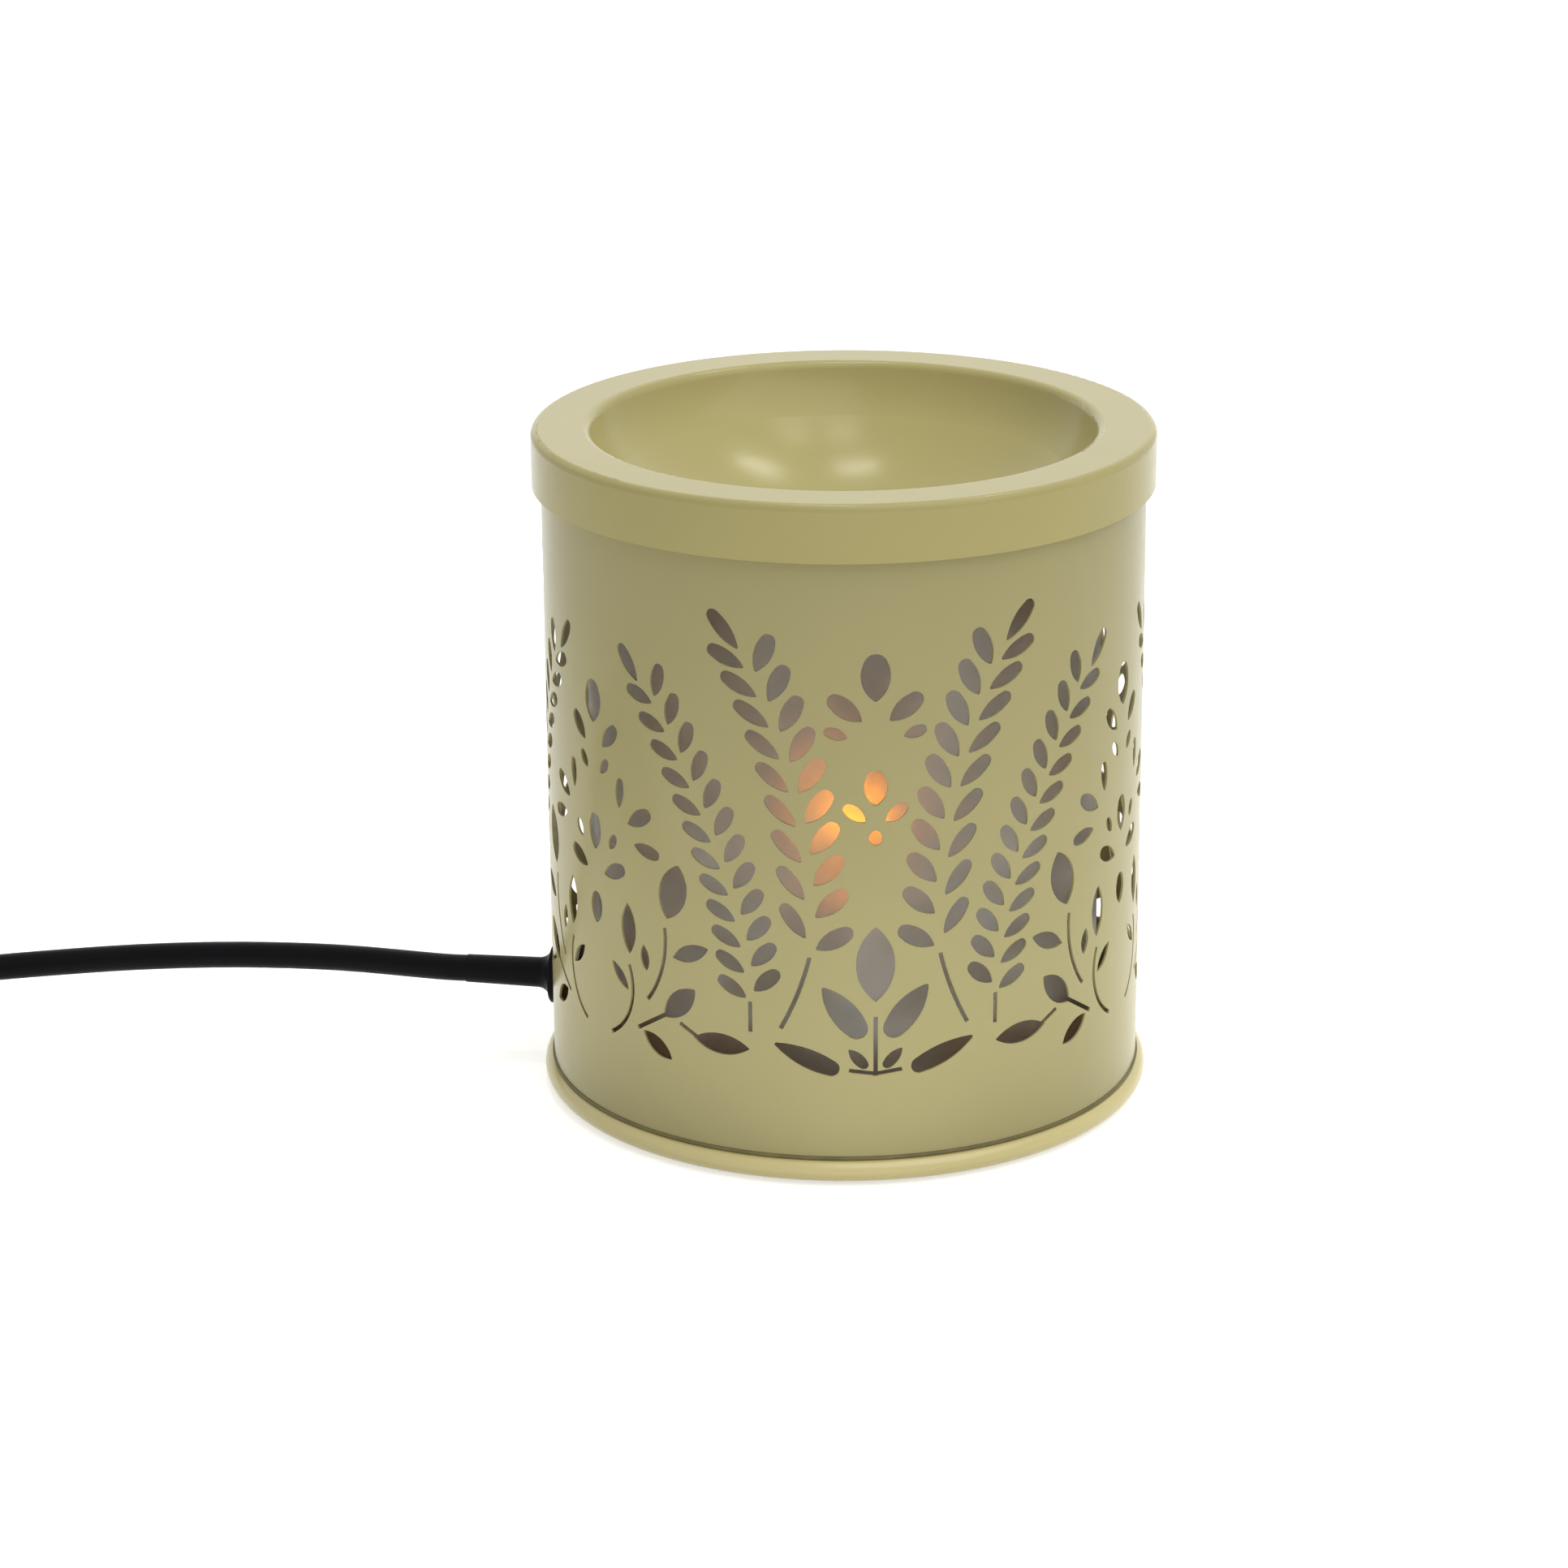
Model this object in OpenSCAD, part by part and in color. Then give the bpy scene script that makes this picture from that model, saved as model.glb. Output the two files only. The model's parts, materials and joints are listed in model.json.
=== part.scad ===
// Electric wax warmer: a pierced can with a lamp inside, and a lift-off dish for the wax on top.
// Millimetres, +Z up, the front faces -Y, the origin is on the table under the can's axis.

/* [Dish] */
// outside diameter of the dish
dish_d = 114; // [108:1:122]
// height of the dish rim above the table
total_h = 126.5; // [118:0.5:136]
// sheet thickness of the dish
dish_sheet = 1; // [0.8:0.1:1.3]
// height of the skirt that drops over the can
skirt_h = 10.4; // [7:0.2:14]
// rounding of the outer rim edge
rim_round = 1.4; // [1:0.1:2]
// diameter of the bowl at the rim
bowl_d = 92.8; // [84:0.2:98]
// depth of the bowl below the rim
bowl_depth = 24; // [16:0.5:28]
// radius of the bend from the bowl's bottom up into its wall
side_round = 18; // [12:0.5:18]
// lean of the bowl's wall outwards at the rim, in degrees
wall_lean = 15; // [10:1:30]
// rounding where the rim turns down into the bowl
lip_round = 1.8; // [1.2:0.1:2.4]
// gap between the skirt and the can
skirt_gap = 0.7; // [0.4:0.1:1.2]

/* [Can] */
// wall of the can
can_wall = 0.4; // [0.3:0.1:0.8]
// turn of the ornament to the right of the front
ornament_turn = 5.7; // [-20:0.1:20]
// length of a leaflet on the tall ears
tall_leaf_long = 7.4; // [5:0.1:7.6]
// width of an inner leaflet on the tall ears
tall_leaf_wide = 3.5; // [2:0.1:3.6]
// width of an outer leaflet on the tall ears
tall_leaf_slim = 3; // [2:0.1:3.1]
// length of a leaflet on the low ears
low_leaf_long = 6.2; // [4:0.1:6.4]
// width of an inner leaflet on the low ears
low_leaf_wide = 3; // [1.6:0.1:3.1]
// width of an outer leaflet on the low ears
low_leaf_slim = 2.8; // [1.6:0.1:2.9]
// width of the stem slots
stem_wide = 0.8; // [0.5:0.1:1]

/* [Diffuser] */
// outside diameter of the diffuser tube
diffuser_d = 95; // [84:0.5:99]
// wall of the diffuser
diffuser_wall = 0.8; // [0.5:0.1:1.2]
// drop of the diffuser's top edge below the can's
diffuser_drop = 9.5; // [6:0.5:16]
// width of the slit where the rolled sheet meets
seam_gap = 0.8; // [0.4:0.1:2]
// width of the notch that lets the cord in
notch_wide = 9; // [7:0.5:12]
// gap between the diffuser and the ring that centres it
ring_gap = 0.3; // [0.2:0.05:0.5]

/* [Base] */
// sheet thickness of the base pan
base_sheet = 0.8; // [0.6:0.1:1]
// thickness of the rolled bead
bead_d = 4; // [3.4:0.1:5]
// reach of the bead past the can wall
bead_over = 1.7; // [1.2:0.1:1.9]
// height of the collar inside the can
collar_h = 5.5; // [3:0.5:5.8]
// gap between the collar and the can
collar_gap = 0.3; // [0.2:0.05:0.5]
// height of the ring that centres the diffuser
ring_h = 3; // [2:0.5:6]
// wall of that ring
ring_wall = 1; // [0.8:0.1:1.5]
// drop of the feet below the bead
foot_step = 0.5; // [0.3:0.1:1]
// diameter of a rubber foot
foot_d = 12; // [8:1:14]
// distance of the feet from the axis
foot_reach = 40; // [32:1:44]

/* [Lamp holder] */
// height of the strap that carries the holder
strap_h = 7; // [5.5:0.5:9]
// sheet thickness of the strap
strap_sheet = 1; // [0.8:0.1:1.4]
// width of the strap
strap_wide = 12; // [10:0.5:16]
// length of each strap foot
strap_foot = 11; // [10:0.5:14]
// half the span between the strap risers
strap_half = 13; // [12:0.5:16]
// thread diameter of the strap screws
strap_screw_d = 3; // [2.5:0.5:4]
// outside diameter of the holder
holder_d = 24; // [22:0.5:28]
// height of the holder
holder_h = 25; // [22:0.5:30]
// floor of the holder
holder_floor = 4.5; // [4:0.5:6]
// diameter of the lamp cap over its thread
cap_d = 11.9; // [11:0.1:13]
// gap between the lamp cap and the threaded shell
cap_gap = 0.35; // [0.3:0.05:0.6]
// wall of the threaded shell
shell_wall = 0.7; // [0.5:0.1:1]
// gap between the shell and the holder
shell_gap = 0.05; // [0.02:0.01:0.1]

/* [Lamp] */
// diameter of the glass
glass_d = 25; // [20:0.5:32]
// wall of the glass
glass_wall = 0.7; // [0.5:0.1:1]
// height of the glass centre above the holder's top
glass_rise = 19; // [16:0.5:24]
// height of the filament above the holder's top
light_rise = 13; // [10:0.5:18]
// length of the lamp cap
cap_h = 16.5; // [15:0.5:18]

/* [Cord] */
// diameter of the cord
cord_d = 5.1; // [4.5:0.1:5.1]
// diameter of one insulated lead
lead_d = 2.2; // [1.8:0.1:2.4]
// height of the cord gland above the table
gland_z = 15.5; // [15:0.5:20]
// diameter of the gland flange
gland_flange = 11.4; // [10:0.2:12]
// diameter of the gland barrel
gland_barrel = 8; // [7:0.2:8.6]
// length of the gland's tapered sleeve
gland_sleeve = 14; // [12:1:15]
// gap round the gland barrel in the can wall
gland_gap = 0.1; // [0.05:0.05:0.3]

/* [Switch and plug] */
// length of the switch case
switch_long = 52; // [46:1:56]
// width of the switch case
switch_wide = 22; // [20:1:24]
// height of the switch case
switch_h = 16; // [14:1:18]
// diameter of the thumb wheel
wheel_d = 26; // [24:0.5:28]
// thickness of the thumb wheel
wheel_thick = 5; // [4:0.5:6]
// diameter of the wheel's pin
wheel_pin_d = 4; // [3:0.5:5]
// running gap between the wheel and its pin
wheel_fit = 0.05; // [0.02:0.01:0.08]
// free gap round the wheel in its slot
wheel_gap = 0.4; // [0.3:0.1:0.8]
// length of the plug body
plug_long = 32; // [28:1:36]
// width of the plug body
plug_wide = 24; // [22:1:28]
// thickness of the plug body
plug_thick = 15; // [13:0.5:17]
// depth of the blades in the plug body
blade_root = 8; // [6:0.5:10]
// width of a blade
blade_wide = 6.4; // [6:0.1:6.8]
// distance of the blade's hole from its end
blade_hole_in = 4.5; // [4:0.1:5]
// free length of the plug blades
blade_long = 17; // [15:0.5:18]
// thickness of a blade
blade_thick = 1.5; // [1.4:0.1:1.6]
// distance between the blades
blade_pitch = 12.7; // [12:0.1:13]

/* [Hidden] */
$fa = 4;
$fs = 0.4;
bite = 1;
dish_r = dish_d / 2;
can_r = dish_r - dish_sheet - skirt_gap;
can_in = can_r - can_wall;
can_top = total_h - dish_sheet;
can_foot = foot_step + bead_d;
bead_mid = can_r + bead_over - bead_d / 2;
bead_z = foot_step + bead_d / 2;
plate_z = bead_z - base_sheet / 2;
plate_top = plate_z + base_sheet;
collar_r = can_in - collar_gap;
bowl_r = bowl_d / 2;
side_at = [bowl_r - side_round * cos(wall_lean), total_h + side_round * sin(wall_lean)];
side_drop = bowl_depth + side_round * sin(wall_lean);
bowl_ball = (pow(side_at[0], 2) + pow(side_drop, 2) - pow(side_round, 2)) / (2 * (side_drop - side_round));
bowl_mid = total_h - bowl_depth + bowl_ball;
diffuser_r = diffuser_d / 2;
diffuser_in = diffuser_r - diffuser_wall;
diffuser_top = can_top - diffuser_drop;
ring_r = diffuser_in - ring_gap;
cut_deep = 3;

// Heights of the holder and the lamp, each from the one below it.
bridge_z = plate_top + strap_h;
floor_z = bridge_z + holder_floor;
holder_top = bridge_z + holder_h;
contact_thick = 0.8;
contact_z = floor_z + contact_thick + 1;
tip_h = 1;
insulator_h = 2;
cap_z = contact_z + tip_h + insulator_h;
cap_top = cap_z + cap_h;
cap_r = cap_d / 2;
thread_pitch = 2.5;
thread_deep = 0.4;
shell_in = cap_r + cap_gap;
shell_r = shell_in + shell_wall;
shell_z = contact_z + 0.8;
shell_top = holder_top - 1.9;
neck_r = cap_r - 0.6;
glass_r = glass_d / 2;
glass_z = holder_top + glass_rise;
light_z = holder_top + light_rise;
wire_reach = 4;
screw_reach = strap_half + strap_foot / 2;
terminal_face = holder_d / 2 - 1.6;
terminal_side = 5;
terminal_z = max(bridge_z + 2.2, gland_z - 0.2);
terminal_head = 2;

// The gland points out of the can wall at the left and a little to the back.
gland_angle = 171;
gland_out = [cos(gland_angle), sin(gland_angle), 0];
gland_r = gland_flange / 2;
gland_flare = 3;
gland_lip = 1.2;
gland_in = 6;
gland_end = can_r + gland_lip + gland_flare + gland_sleeve;
nut_thick = 3.5;
nut_r = gland_r + 0.5;
nut_face = sqrt(can_in * can_in - nut_r * nut_r) - 0.05;
inner_from = can_in - gland_in;
split_r = 34;

// The switch, the coil and the plug lie on the table past the left edge of the photograph.
switch_at = [-232, 25];
switch_mid = switch_h / 2;
coil_at = [-252, -33];
coil_z = 3.75;
coil_step = cord_d + 0.55;
coil_outer = 40.4;
turns_down = 3.5;
turns_up = 3.25;
coil_rings = 24;
coil_end_r = coil_outer + coil_step * (turns_up - turns_down);
plug_axis = plug_thick / 2;
plug_neck = 20;
plug_at = [coil_at[0] + 38, coil_at[1] - coil_end_r];
tie_wide = 6;
tie_thick = 0.8;
tie_gap = 0.2;

// Routes, in points chosen by hand between the ends that they meet, each with a small gap there.
cord_gap = 0.25;
lead_route = concat(
    [gland_out * (gland_end + cord_gap) + [0, 0, gland_z],
     gland_out * (gland_end + 6) + [0, 0, gland_z]],
    [[-98, 17.6, 15.3], [-118, 21.6, 14.4], [-138, 24, 13], [-158, 25, 11.2],
     [-178, 25, 9.4], [-192, 25, 8.4]],
    [[switch_at[0] + switch_long / 2 + 6, switch_at[1], switch_mid],
     [switch_at[0] + switch_long / 2 + cord_gap, switch_at[1], switch_mid]]
);
feed_route = concat(
    [[switch_at[0] - switch_long / 2 - cord_gap, switch_at[1], switch_mid],
     [switch_at[0] - switch_long / 2 - 6, switch_at[1], switch_mid]],
    [[-272, 23.2, 6.6], [-281, 17.4, 5], [-288, 7.6, 4.1], [-291, -4, 3.8]],
    [[coil_at[0] - coil_outer, coil_at[1] + 16, coil_z],
     [coil_at[0] - coil_outer, coil_at[1] + cord_d + cord_gap, coil_z]]
);
tail_route = [
    [coil_at[0] + cord_d + cord_gap, plug_at[1], coil_z + coil_step],
    [coil_at[0] + cord_d + 4, plug_at[1], coil_z + coil_step],
    [plug_at[0] - plug_neck - 4, plug_at[1], plug_axis],
    [plug_at[0] - plug_neck - cord_gap, plug_at[1], plug_axis]
];

// Smooth route through points: a cubic between neighbours, with the ends kept straight.
function pick(p, i) = p[max(0, min(len(p) - 1, i))];
function between(a, b, c, d, t) =
    0.5 * (2 * b + (c - a) * t + (2 * a - 5 * b + 4 * c - d) * t * t
    + (3 * b - a - 3 * c + d) * t * t * t);
function smooth(p, steps) =
    concat(
        [for (i = [0:len(p) - 2])
            for (k = [0:steps - 1])
                between(pick(p, i - 1), p[i], p[i + 1], pick(p, i + 2), k / steps)],
        [p[len(p) - 1]]
    );
function unit(v) = v / norm(v);
function heading(p, i) = unit(pick(p, i + 1) - pick(p, i - 1));
function across(v) = unit(cross(v, [0, 0, 1]));

// Tube of flat triangles along a route, closed at both ends.
module tube(route, d, sides) {
    n = len(route);
    rings = [
        for (i = [0:n - 1])
            let (v = heading(route, i), s = across(v), u = cross(s, v))
            for (k = [0:sides - 1])
                route[i] + d / 2 * (cos(360 * k / sides) * s + sin(360 * k / sides) * u)
    ];
    sides_a = [
        for (i = [0:n - 2])
            for (k = [0:sides - 1])
                [i * sides + k, i * sides + (k + 1) % sides, (i + 1) * sides + k]
    ];
    sides_b = [
        for (i = [0:n - 2])
            for (k = [0:sides - 1])
                [i * sides + (k + 1) % sides, (i + 1) * sides + (k + 1) % sides, (i + 1) * sides + k]
    ];
    last = (n - 1) * sides;
    cap_a = [for (k = [1:sides - 2]) [0, k + 1, k]];
    cap_b = [for (k = [1:sides - 2]) [last, last + k, last + k + 1]];
    polyhedron(points = rings, faces = concat(sides_a, sides_b, cap_a, cap_b));
}

// The coil winds in on the table, climbs in half a turn and winds out again on top.
coil_in = coil_outer - coil_step * turns_down;
function coil_r(t) =
    t < turns_down ? coil_outer - coil_step * t
    : t < turns_down + 0.5 ? coil_in - coil_step * (t - turns_down) * (1 - 2 * (t - turns_down))
    : coil_in + coil_step * (t - turns_down - 0.5);
function climb(u) = u * u * (3 - 2 * u);
function coil_up(t) = coil_step * climb(max(0, min(1, 2 * (t - turns_down))));
function coil_point(t) =
    [coil_at[0] + coil_r(t) * cos(180 + 360 * t),
     coil_at[1] + coil_r(t) * sin(180 + 360 * t),
     coil_z + coil_up(t)];
coil_turns = turns_down + 0.5 + turns_up;
coil_route = concat(
    [coil_point(0) + [0, cord_d, 0]],
    [for (i = [0:coil_turns * coil_rings]) coil_point(i / coil_rings)],
    [coil_point(coil_turns) + [cord_d, 0, 0]]
);
coil_gap = min([
    for (i = [0:len(coil_route) - 1])
        for (k = [i + coil_rings / 2:1:len(coil_route) - 1])
            norm(coil_route[i] - coil_route[k])
]) - cord_d;
echo(str("least gap of the coil to itself, mm: ", coil_gap));

// Ornament. Angles are to the right of the panel's middle, heights are above the table at full height.
ornament_h = 121;
ornament_stretch = (can_top - can_foot) / ornament_h;
panels = 3;
tall_pairs = 10;
low_pairs = 12;
function tall_bend(z) = 11.9 + 13.5 * pow(max(0, z - 45.5) / 55, 2.3);
function low_bend(z) = 23.6 + 21.6 * pow(max(0, z - 34.5) / 56, 1.75);

module at_wall(angle, z, tilt) {
    rotate([0, 0, angle])
        translate([0, -(can_in - cut_deep), can_foot + (z - 4.5) * ornament_stretch])
            rotate([90, 0, 0])
                rotate([0, 0, tilt])
                    linear_extrude(height = can_wall + cut_deep + bite)
                        children();
}

// Petal with its tip at the origin: two long arcs that run into a large and a small round end.
// The ends are a hair larger than the arcs ask, so that they cross the arcs instead of touching them.
module petal(long, wide) {
    half = wide / 2;
    top_r = 0.8 * half;
    tip_r = 0.2 * half;
    span = long - top_r - tip_r;
    top_room = half - top_r;
    tip_room = half - tip_r;
    share = 1 - top_room / tip_room;
    rise = (span - sqrt(span * span - share * (span * span + top_room * (top_r - tip_r)))) / share;
    arc_r = (rise * rise / tip_room + tip_r + half) / 2;
    mid_x = arc_r - half;
    mid_y = tip_r + rise;
    top_y = mid_y + (long - top_r - mid_y) * arc_r / (arc_r - top_r);
    tip_y = mid_y + (tip_r - mid_y) * arc_r / (arc_r - tip_r);
    translate([0, long - top_r])
        circle(1.015 * top_r);
    translate([0, tip_r])
        circle(1.03 * tip_r);
    intersection() {
        translate([-mid_x, mid_y])
            circle(arc_r);
        translate([mid_x, mid_y])
            circle(arc_r);
        translate([-wide, tip_y])
            square([2 * wide, top_y - tip_y]);
    }
}

// Leaf with its round end at the origin and its tip outward.
module bud(long, wide) {
    translate([0, long])
        mirror([0, 1])
            petal(long, wide);
}

// Leaf with a point at both ends.
module leaf(long, wide) {
    w = wide / 2;
    half = long / 2;
    big = (half * half + w * w) / (2 * w);
    translate([0, half])
        intersection() {
            translate([big - w, 0])
                circle(big);
            translate([w - big, 0])
                circle(big);
        }
}

// Stem slot that bows to the left of its upward line.
module bowed_stem(long, bow) {
    big = (long * long / 4 + bow * bow) / (2 * bow);
    half = asin(long / (2 * big));
    translate([big - bow, long / 2])
        intersection() {
            difference() {
                circle(big + stem_wide / 2);
                circle(big - stem_wide / 2);
            }
            polygon([[0, 0], [-2 * big, -2 * big * tan(half)], [-2 * big, 2 * big * tan(half)]]);
        }
}

module straight_stem(long) {
    translate([-stem_wide / 2, 0])
        square([stem_wide, long]);
}

module tall_ear(side) {
    for (i = [0:tall_pairs - 1]) {
        z = 44.9 + 6.1 * i - 0.05 * i * i;
        at_wall(side * (tall_bend(z) - 1), z, side * (46 - 2.6 * i + 14 * pow(0.3, i)))
            petal(tall_leaf_long, tall_leaf_wide);
    }
    for (i = [0:tall_pairs - 2]) {
        z = 47 + 7.4 * i - 0.155 * i * i;
        at_wall(side * (tall_bend(z) + 1), z, -side * (34 + 3.9 * i))
            petal(tall_leaf_long, tall_leaf_slim);
    }
    at_wall(side * 25.2, 99.6, side * -40)
        petal(8.4, tall_leaf_slim);
    at_wall(side * 17.6, 29.5, side * 20.8)
        mirror([side < 0 ? 1 : 0, 0])
            bowed_stem(14.8, 0.5);
}

module low_ear(side) {
    for (i = [0:low_pairs - 1]) {
        z = 36.2 + 4.75 * i;
        at_wall(side * (low_bend(z) - 1), z, side * (48 - 3.3 * i))
            petal(low_leaf_long, low_leaf_wide);
        at_wall(side * (low_bend(z - 1.4) + 0.6), z - 1.4, -side * (58 + 1.3 * i))
            petal(low_leaf_long, low_leaf_slim);
    }
    at_wall(side * 47, 90.4, side * -36)
        petal(7.4, low_leaf_slim);
    at_wall(side * 23.4, 28.3, 0)
        straight_stem(5.8);
}

module first_column() {
    at_wall(0, 90.8, 0)
        petal(8.6, 5.3);
    at_wall(0, 71.7, 0)
        petal(6.5, 4.2);
    at_wall(0, 64.3, 0)
        petal(2.8, 2.4);
    at_wall(0, 34.9, 0)
        leaf(14.2, 7);
    at_wall(0, 20.7, 0)
        straight_stem(11.4);
    for (side = [-1, 1]) {
        at_wall(side * 2.6, 87.3, side * -52)
            petal(7.2, 3.6);
        at_wall(side * 5.2, 84.3, side * -72)
            petal(4.2, 2.3);
        at_wall(side * 1.9, 68.7, side * -50)
            petal(4.8, 2.5);
        at_wall(side * 2.2, 28.3, side * -38)
            bud(11.8, 5);
        at_wall(side * 6.8, 21.7, side * -67)
            bud(12.4, 3.8);
        at_wall(side * 1.6, 22.3, side * -42)
            bud(4.8, 2.2);
        at_wall(0, 21.2, side * -82)
            straight_stem(4.8);
    }
}

module second_column() {
    at_wall(0, 79.8, 0)
        petal(8, 5);
    at_wall(0, 55.7, 0)
        petal(6.8, 3.8);
    at_wall(0, 41.5, 0)
        petal(6, 3.6);
    for (side = [-1, 1]) {
        at_wall(side * 2.9, 75.9, side * -42)
            petal(6, 3);
        at_wall(side * 2.2, 70.7, side * -36)
            petal(3.6, 2);
        at_wall(side * 7.6, 65.5, side * -4)
            petal(5.6, 2.2);
        at_wall(side * 10, 63, side * -60)
            petal(6.4, 3.1);
        at_wall(side * 11.6, 59.4, side * -100)
            petal(6, 2.7);
        at_wall(side * 4.6, 56.9, side * -30)
            petal(3.4, 2);
        at_wall(side * 2.9, 51.7, side * -68)
            petal(6.2, 3);
        at_wall(side * 19.3, 47, side * -14)
            leaf(11, 6);
        at_wall(side * 20.6, 39.9, side * -68)
            leaf(8, 3.2);
        at_wall(side * 14.2, 35.9, side * 8)
            leaf(5, 2.1);
        at_wall(side * 9.8, 38.1, side * 2)
            leaf(9.8, 3.8);
        at_wall(side * 18.4, 28.1, side * -46)
            leaf(9.4, 4.4);
        at_wall(side * 25, 25.5, side * -93)
            leaf(11, 4);
        at_wall(side * 26.4, 25.4, side * 62)
            straight_stem(4.8);
        at_wall(side * 13.2, 24.2, side * -122)
            leaf(7.8, 3.2);
        at_wall(side * 9.4, 31, side * 44)
            leaf(6.4, 2.2);
        at_wall(side * 14.4, 30.5, side * -16)
            mirror([side > 0 ? 1 : 0, 0])
                bowed_stem(15.3, 1.5);
        at_wall(side * 11.8, 24.4, side * -58)
            straight_stem(7.8);
        at_wall(side * 4.2, 21.5, side * -20)
            mirror([side > 0 ? 1 : 0, 0])
                bowed_stem(15.4, 3);
    }
}

module ornament() {
    for (k = [0:panels - 1])
        rotate([0, 0, ornament_turn + 360 / panels * k]) {
            for (side = [-1, 1]) {
                tall_ear(side);
                low_ear(side);
            }
            first_column();
            rotate([0, 0, 180 / panels])
                second_column();
        }
}

// Places its children so that their +X points at the gland.
module to_gland() {
    rotate([0, 0, gland_angle])
        children();
}

// Places its children so that their +Z runs out along the gland's axis, from the can's axis.
module on_gland() {
    to_gland()
        translate([0, 0, gland_z])
            rotate([0, 90, 0])
                children();
}

// half of the bowl's hollow from the side, larger all round by more: a ball, and a bend up into the wall
module bowl_side(more) {
    to_side = unit(side_at - [0, bowl_mid]);
    intersection() {
        translate([0, bowl_mid])
            circle(bowl_ball + more);
        polygon([
            [0, bowl_mid],
            [0, bowl_mid - 1.5 * bowl_ball],
            [0, bowl_mid] + to_side * 1.5 * bowl_ball
        ]);
    }
    translate(side_at)
        circle(side_round + more);
}

module wax_dish() {
    skirt_z = total_h - skirt_h;
    lip_z = total_h - lip_round;
    lip_r = side_at[0] + sqrt(pow(side_round + lip_round, 2) - pow(side_at[1] - lip_z, 2));
    lip_at = [lip_r, lip_z];
    to_side = unit(side_at - lip_at);
    color("DarkKhaki")
        rotate_extrude()
            difference() {
                union() {
                    difference() {
                        translate([0, skirt_z])
                            square([dish_r, skirt_h]);
                        difference() {
                            translate([0, skirt_z - bite])
                                square([dish_r - dish_sheet, skirt_h + bite - dish_sheet]);
                            bowl_side(dish_sheet);
                        }
                    }
                    intersection() {
                        bowl_side(dish_sheet);
                        translate([0, total_h - bowl_depth - 2 * dish_sheet])
                            square([bowl_r + dish_sheet, bowl_depth + 1.5 * dish_sheet]);
                    }
                }
                bowl_side(0);
                difference() {
                    translate([dish_r - rim_round, total_h - rim_round])
                        square([rim_round + bite, rim_round + bite]);
                    translate([dish_r - rim_round, total_h - rim_round])
                        circle(rim_round);
                }
                difference() {
                    polygon([
                        lip_at,
                        lip_at + [0, lip_round + bite],
                        lip_at + [-3 * lip_round, lip_round + bite],
                        lip_at + to_side * (lip_round + 0.4)
                    ]);
                    translate(lip_at)
                        circle(lip_round);
                }
                translate([-2 * dish_r, 0])
                    square([2 * dish_r, 3 * total_h]);
            }
}

module pierced_can() {
    color("Khaki")
        difference() {
            translate([0, 0, can_foot])
                cylinder(h = can_top - can_foot, r = can_r);
            translate([0, 0, can_foot - bite])
                cylinder(h = can_top - can_foot + 2 * bite, r = can_in);
            on_gland()
                translate([0, 0, can_in - bite])
                    cylinder(h = can_wall + 2 * bite, d = gland_barrel + 2 * gland_gap);
            ornament();
        }
}

module diffuser() {
    color("Gainsboro")
        difference() {
            translate([0, 0, plate_top])
                cylinder(h = diffuser_top - plate_top, r = diffuser_r);
            translate([0, 0, plate_top - bite])
                cylinder(h = diffuser_top - plate_top + 2 * bite, r = diffuser_in);
            translate([-seam_gap / 2, diffuser_in - bite, plate_top - bite])
                cube([seam_gap, diffuser_wall + 2 * bite, diffuser_top - plate_top + 2 * bite]);
            to_gland()
                translate([diffuser_in - bite, -notch_wide / 2, plate_top - bite])
                    cube([diffuser_wall + 2 * bite, notch_wide, gland_z + notch_wide / 2 - plate_top + bite]);
        }
}

module base_pan() {
    color("Olive")
        difference() {
            rotate_extrude() {
                translate([0, plate_z])
                    square([bead_mid, base_sheet]);
                translate([collar_r - base_sheet, plate_z])
                    square([base_sheet, base_sheet + collar_h]);
                translate([ring_r - ring_wall, plate_z])
                    square([ring_wall, base_sheet + ring_h]);
                translate([bead_mid, bead_z])
                    circle(bead_d / 2);
            }
            to_gland()
                for (side = [-1, 1])
                    translate([0, side * screw_reach, plate_z - bite])
                        cylinder(h = base_sheet + 2 * bite, d = strap_screw_d + 0.3);
        }
}

module feet() {
    color("DimGray")
        for (k = [0:3])
            rotate([0, 0, 45 + 90 * k])
                translate([foot_reach, 0, 0])
                    cylinder(h = plate_z, d = foot_d);
}

module holder_strap() {
    color("Silver")
        to_gland()
            difference() {
                union() {
                    translate([-strap_wide / 2, -strap_half, bridge_z - strap_sheet])
                        cube([strap_wide, 2 * strap_half, strap_sheet]);
                    for (side = [-1, 1])
                        mirror([0, side < 0 ? 1 : 0, 0]) {
                            translate([-strap_wide / 2, strap_half - strap_sheet, plate_top])
                                cube([strap_wide, strap_sheet, strap_h]);
                            translate([-strap_wide / 2, strap_half - strap_sheet, plate_top])
                                cube([strap_wide, strap_sheet + strap_foot, strap_sheet]);
                        }
                }
                for (side = [-1, 1])
                    translate([0, side * screw_reach, plate_top - bite])
                        cylinder(h = strap_sheet + 2 * bite, d = strap_screw_d + 0.3);
                translate([0, 0, bridge_z - strap_sheet - bite])
                    cylinder(h = strap_sheet + 2 * bite, d = strap_screw_d + 0.3);
            }
}

module strap_screws() {
    color("LightGray")
        to_gland()
            for (side = [-1, 1])
                translate([0, side * screw_reach, 0]) {
                    translate([0, 0, plate_z - 1.4])
                        difference() {
                            cylinder(h = 1.4, d = 2 * strap_screw_d);
                            translate([-strap_screw_d, -0.4, -bite])
                                cube([2 * strap_screw_d, 0.8, bite + 0.7]);
                        }
                    translate([0, 0, plate_z - 0.2])
                        cylinder(h = base_sheet + strap_sheet + 3.2, d = strap_screw_d);
                }
}

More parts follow.
